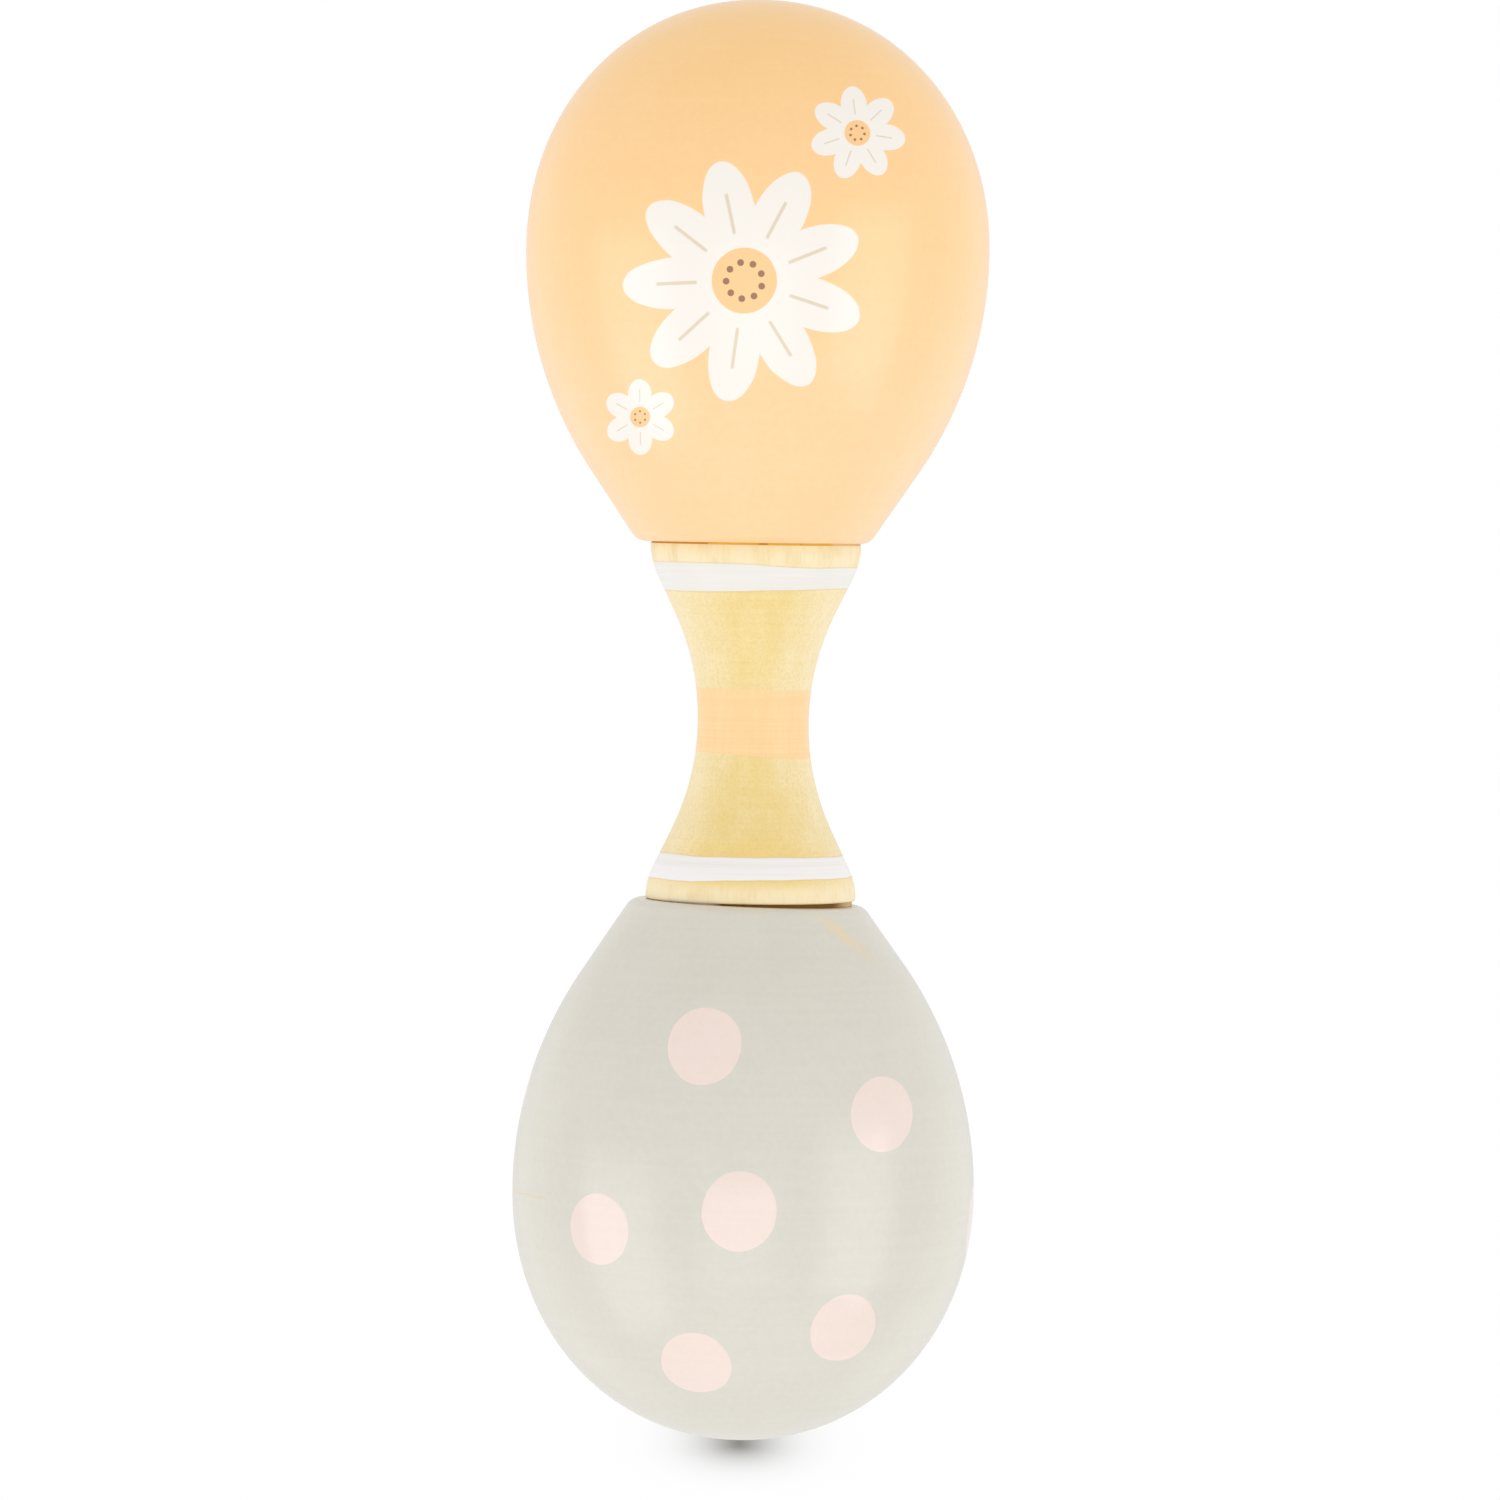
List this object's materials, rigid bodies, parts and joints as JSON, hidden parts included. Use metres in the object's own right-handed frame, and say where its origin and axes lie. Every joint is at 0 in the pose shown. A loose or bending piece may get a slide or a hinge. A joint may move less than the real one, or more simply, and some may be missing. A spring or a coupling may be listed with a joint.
{
  "type": "baby maraca",
  "caption": "Double-ended wooden baby maraca: hollow egg-shaped heads on a slim waisted handle, with loose beads inside that rattle when it is shaken.",
  "frame": {"origin": "centre of the handle's waist on the long axis, where the hand holds it", "axes": "+Z along the long axis towards the peach head, -Y towards the viewer of the picture"},
  "size_m": [0.055, 0.055, 0.1712],
  "materials": {
    "handle_wood": "bare pale hardwood, smooth turned, with painted stripes",
    "peach_paint": "satin peach paint on turned wood",
    "grey_paint": "satin warm grey paint with pale dots on turned wood",
    "bead_wood": "bare wood"
  },
  "bodies": {
    "maraca_body": {"handle": "handle_wood", "peach_crown_cup": "peach_paint", "peach_neck_cup": "peach_paint", "grey_crown_cup": "grey_paint", "grey_neck_cup": "grey_paint"},
    "peach_bead_1": {"peach_bead_1": "bead_wood"},
    "peach_bead_2": {"peach_bead_2": "bead_wood"},
    "peach_bead_3": {"peach_bead_3": "bead_wood"},
    "peach_bead_4": {"peach_bead_4": "bead_wood"},
    "peach_bead_5": {"peach_bead_5": "bead_wood"},
    "peach_bead_6": {"peach_bead_6": "bead_wood"},
    "peach_bead_7": {"peach_bead_7": "bead_wood"},
    "peach_bead_8": {"peach_bead_8": "bead_wood"},
    "grey_bead_1": {"grey_bead_1": "bead_wood"},
    "grey_bead_2": {"grey_bead_2": "bead_wood"},
    "grey_bead_3": {"grey_bead_3": "bead_wood"},
    "grey_bead_4": {"grey_bead_4": "bead_wood"},
    "grey_bead_5": {"grey_bead_5": "bead_wood"},
    "grey_bead_6": {"grey_bead_6": "bead_wood"},
    "grey_bead_7": {"grey_bead_7": "bead_wood"},
    "grey_bead_8": {"grey_bead_8": "bead_wood"}
  },
  "joints": [
    {"name": "peach_bead_1_slide", "type": "slide", "parent": "maraca_body", "child": "peach_bead_1", "axis": [0, 0, 1], "range_m": [0, 0.0418]},
    {"name": "peach_bead_2_slide", "type": "slide", "parent": "maraca_body", "child": "peach_bead_2", "axis": [0, 0, 1], "range_m": [0, 0.0388]},
    {"name": "peach_bead_3_slide", "type": "slide", "parent": "maraca_body", "child": "peach_bead_3", "axis": [0, 0, 1], "range_m": [0, 0.0388]},
    {"name": "peach_bead_4_slide", "type": "slide", "parent": "maraca_body", "child": "peach_bead_4", "axis": [0, 0, 1], "range_m": [0, 0.0388]},
    {"name": "peach_bead_5_slide", "type": "slide", "parent": "maraca_body", "child": "peach_bead_5", "axis": [0, 0, 1], "range_m": [0, 0.0388]},
    {"name": "peach_bead_6_slide", "type": "slide", "parent": "maraca_body", "child": "peach_bead_6", "axis": [0, 0, 1], "range_m": [0, 0.0388]},
    {"name": "peach_bead_7_slide", "type": "slide", "parent": "maraca_body", "child": "peach_bead_7", "axis": [0, 0, 1], "range_m": [0, 0.0388]},
    {"name": "peach_bead_8_slide", "type": "slide", "parent": "maraca_body", "child": "peach_bead_8", "axis": [0, 0, 1], "range_m": [0, 0.0388]},
    {"name": "grey_bead_1_slide", "type": "slide", "parent": "maraca_body", "child": "grey_bead_1", "axis": [0, 0, 1], "range_m": [0, 0.0418]},
    {"name": "grey_bead_2_slide", "type": "slide", "parent": "maraca_body", "child": "grey_bead_2", "axis": [0, 0, 1], "range_m": [0, 0.0388]},
    {"name": "grey_bead_3_slide", "type": "slide", "parent": "maraca_body", "child": "grey_bead_3", "axis": [0, 0, 1], "range_m": [0, 0.0388]},
    {"name": "grey_bead_4_slide", "type": "slide", "parent": "maraca_body", "child": "grey_bead_4", "axis": [0, 0, 1], "range_m": [0, 0.0388]},
    {"name": "grey_bead_5_slide", "type": "slide", "parent": "maraca_body", "child": "grey_bead_5", "axis": [0, 0, 1], "range_m": [0, 0.0388]},
    {"name": "grey_bead_6_slide", "type": "slide", "parent": "maraca_body", "child": "grey_bead_6", "axis": [0, 0, 1], "range_m": [0, 0.0388]},
    {"name": "grey_bead_7_slide", "type": "slide", "parent": "maraca_body", "child": "grey_bead_7", "axis": [0, 0, 1], "range_m": [0, 0.0388]},
    {"name": "grey_bead_8_slide", "type": "slide", "parent": "maraca_body", "child": "grey_bead_8", "axis": [0, 0, 1], "range_m": [0, 0.0388]}
  ]
}
